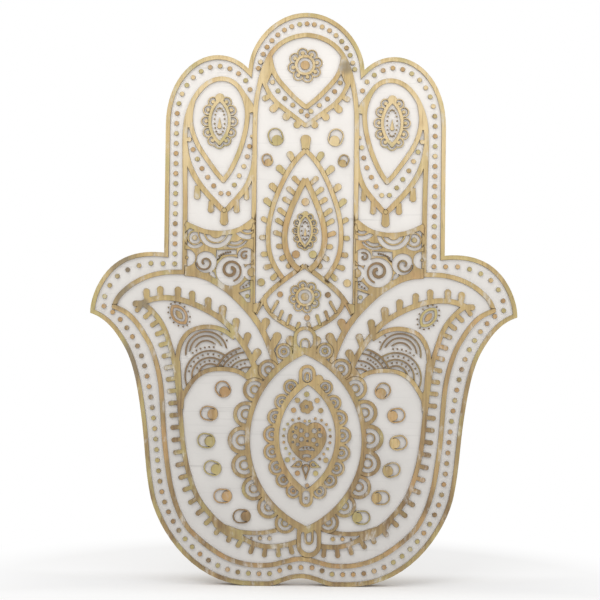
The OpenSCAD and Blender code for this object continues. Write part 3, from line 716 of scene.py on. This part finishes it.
@dataclass
class CarvedFace:
    """All pieces cut from the face ply, each in the wood tone that its own blank had."""

    frames: tuple[str, ...] = ("mandorla_frame", "scroll_panels", "palm_frames", "finger_frames")
    beads: tuple[str, ...] = ("border_beads", "finger_beads", "round_studs", "eye_discs", "flower_eyes",
                              "leaf_ovals", "heart_beads")
    ribs: tuple[str, ...] = ("seed_beads", "scrolls", "fan_ribs")
    motifs: tuple[str, ...] = ("top_flower", "palm_flower", "side_paisleys", "finger_paisley", "inner_almond",
                               "heart", "heart_flower", "heart_sprig")

    def build(self) -> list[bpy.types.Object]:
        """Makes and dresses every face piece.

        Returns:
            The new objects.
        """
        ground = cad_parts["ground_ply"].data
        outline = KDTree(len(ground.vertices))
        for index, point in enumerate(ground.vertices):
            outline.insert(Vector((point.co.x, 0.0, point.co.z)), index)
        outline.balance()
        frame_wood = CarvedWood("frame_wood", island_spread=0.10).make()
        bead_wood = CarvedWood("bead_wood", island_spread=0.85, hue_spread=1.3, paint_left=0.55).make()
        motif_wood = CarvedWood("motif_wood", island_spread=0.35, depth=-0.10, paint_left=0.8).make()
        rib_wood = CarvedWood("rib_wood", island_spread=0.30, depth=0.62, paint_left=0.25).make()
        rim_wood = CarvedWood("rim_wood", island_spread=0.0, paint_left=0.9).make()
        made = [self.dress(FacePiece("outer_rim", Cut.RIM).build(outline), rim_wood)]
        for names, wood in ((self.frames, frame_wood), (self.beads, bead_wood), (self.motifs, motif_wood),
                            (self.ribs, rib_wood)):
            for name in names:
                wall = FINE if name in (*self.ribs, "heart_beads") else BOLD
                made.append(self.dress(FacePiece(name, wall=wall).build(outline), wood))
        return made

    def dress(self, piece: bpy.types.Object, wood: bpy.types.Material) -> bpy.types.Object:
        """Gives a piece its wood.

        Args:
            piece: the face piece.
            wood: its material.
        Returns:
            The same piece.
        """
        piece.data.materials.clear()
        piece.data.materials.append(wood)
        LOG.info("%s: %d points", piece.name, len(piece.data.vertices))
        return piece


@dataclass
class Board:
    """The four plies behind the face, kept as the CAD made them, with eased edges."""

    ease: float = 0.0002
    cross_light: Rgb = (0.42, 0.29, 0.15)
    cross_dark: Rgb = (0.27, 0.17, 0.08)
    back_light: Rgb = (0.60, 0.45, 0.26)
    back_dark: Rgb = (0.40, 0.27, 0.13)

    def dress(self) -> None:
        """Puts paint on the ground ply and raw veneer on the others."""
        looks = {"ground_ply": WhiteGround().make(),
                 "core_ply": Veneer("core_veneer", Grain.UPRIGHT).make(),
                 "rear_cross_ply": Veneer("cross_veneer", Grain.LEVEL,
                                          self.cross_light, self.cross_dark).make(),
                 "back_ply": Veneer("back_veneer", Grain.UPRIGHT,
                                    self.back_light, self.back_dark).make()}
        for name, material in looks.items():
            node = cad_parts[name]
            node.data.materials.clear()
            node.data.materials.append(material)
            ease_edges(node, self.ease, segments=1, angle_deg=60)
            LOG.info("%s: dressed", name)


@dataclass
class BackFittings:
    """Strap hangers, their pull rings and screws, and the rubber pads."""

    steel: tuple[str, ...] = ("hanger_straps", "ring_left", "ring_right", "hanger_screws")
    ease: float = 0.00025

    def dress(self) -> None:
        """Puts steel and rubber on the back's fittings and eases all but the rings."""
        metal = ZincSteel().make()
        rubber = PadRubber().make()
        for name in (*self.steel, "rubber_pads"):
            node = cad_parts[name]
            node.data.materials.clear()
            node.data.materials.append(rubber if name == "rubber_pads" else metal)
            if not name.startswith("ring"):
                ease_edges(node, self.ease, segments=2, angle_deg=40)
            LOG.info("%s: dressed", name)


@dataclass(frozen=True)
class Lamp:
    """One square soft lamp."""

    name: str
    at: tuple[float, float, float]
    size: float
    power: float


@dataclass
class Studio:
    """A pale floor, soft lamps and the camera at the photograph's angle."""

    distance: float = 1.40
    lift_deg: float = -0.9
    roll_deg: float = 0.65
    frame_width: float = 0.6272
    sensor: float = 36.0
    target: tuple[float, float, float] = (-0.0041, FRONT, 0.29847)
    lamps_aim: tuple[float, float, float] = (0.0, 0.0, 0.3)
    lamps: tuple[Lamp, ...] = (Lamp("key", (-0.75, -1.55, 1.55), 1.2, 15.0),
                               Lamp("fill", (1.05, -1.50, 0.75), 1.3, 9.0),
                               Lamp("top", (0.0, -0.35, 1.75), 1.0, 6.0))
    floor_reach: float = 6.0
    glow_squash: tuple[float, float, float] = (1.0, 1.15, 0.0)
    glow_shift: tuple[float, float, float] = (0.0, 0.06, 0.0)
    glow_around: Step = Step(0.20, 0.46)
    glow_beside: Step = Step(0.004, 0.075, 0.62)
    paper: Rgb = (0.93, 0.93, 0.93)
    white: Rgb = (1.0, 1.0, 1.0)
    room_light: float = 0.55

    def build(self) -> None:
        """Makes the floor, the world, the lamps and the camera."""
        self.floor()
        self.world()
        for lamp in self.lamps:
            self.hang(lamp)
        self.camera()

    def floor(self) -> None:
        """Lays a pale floor that keeps the plaque's shadow close by and fades into white."""
        mesh = bpy.data.meshes.new("studio_floor")
        r = self.floor_reach
        mesh.from_pydata([(-r, -r, 0), (r, -r, 0), (r, r, 0), (-r, r, 0)], [], [(0, 1, 2, 3)])
        floor = bpy.data.objects.new("studio_floor", mesh)
        bpy.context.scene.collection.objects.link(floor)
        looks = Looks.named("studio_floor")
        place = looks.place()
        span = looks.add("ShaderNodeVectorMath", {"operation": "LENGTH"},
                         {0: looks.stretched(place, self.glow_squash, self.glow_shift)}, output="Value")
        beside = abs(looks.axis(place, "Y")).stepped(self.glow_beside)
        glow = beside.maths("MAXIMUM", span.stepped(self.glow_around))
        paper = looks.add("ShaderNodeBsdfDiffuse", inputs={"Color": self.paper})
        white = looks.add("ShaderNodeEmission", inputs={"Color": self.white, "Strength": 1.0})
        looks.add_output(looks.add("ShaderNodeMixShader", inputs={0: glow, 1: paper, 2: white}))
        mesh.materials.append(looks.owner)

    def world(self) -> None:
        """Lights the room evenly and shows white behind the plaque."""
        sky = Looks(bpy.data.worlds.new("studio"))
        camera = sky.add("ShaderNodeLightPath", output="Is Camera Ray")
        seen = camera.maths("MAXIMUM", camera.other("Is Glossy Ray"))
        seen = seen.maths("MAXIMUM", camera.other("Is Transmission Ray"))
        soft = sky.add("ShaderNodeBackground", inputs={"Color": self.white, "Strength": self.room_light})
        white = sky.add("ShaderNodeBackground", inputs={"Color": self.white, "Strength": 1.0})
        blend = sky.add("ShaderNodeMixShader", inputs={0: seen, 1: soft, 2: white})
        sky.add_output(blend, "ShaderNodeOutputWorld")
        bpy.context.scene.world = sky.owner

    def hang(self, lamp: Lamp) -> None:
        """Hangs one lamp that faces the plaque's middle.

        Args:
            lamp: the lamp's name, place, size and power.
        """
        data = bpy.data.lights.new(lamp.name, "AREA")
        data.size = lamp.size
        data.energy = lamp.power
        made = bpy.data.objects.new(lamp.name, data)
        made.location = lamp.at
        made.rotation_mode = "QUATERNION"
        made.rotation_quaternion = (Vector(self.lamps_aim) - Vector(lamp.at)).to_track_quat("-Z", "Y")
        bpy.context.scene.collection.objects.link(made)

    def camera(self) -> None:
        """Sets the camera in front of the plaque, a touch below its middle and rolled a little."""
        data = bpy.data.cameras.new("camera")
        data.sensor_width = self.sensor
        data.lens = self.sensor * self.distance / self.frame_width
        camera = bpy.data.objects.new("camera", data)
        lift = math.radians(self.lift_deg)
        way = Vector((0.0, -math.cos(lift), math.sin(lift)))
        camera.location = Vector(self.target) + way * self.distance
        camera.rotation_mode = "QUATERNION"
        roll = Euler((0.0, 0.0, math.radians(self.roll_deg))).to_quaternion()
        camera.rotation_quaternion = (-way).to_track_quat("-Z", "Y") @ roll
        bpy.context.scene.collection.objects.link(camera)
        bpy.context.scene.camera = camera


def main() -> None:
    """Builds the plaque's looks in order, then the studio."""
    logging.basicConfig(level=logging.INFO, format="%(name)s: %(message)s")
    bpy.context.scene.view_settings.view_transform = "Standard"
    Board().dress()
    LOG.info("%d face pieces carved", len(CarvedFace().build()))
    BackFittings().dress()
    Studio().build()


if __name__ == "__main__":
    main()
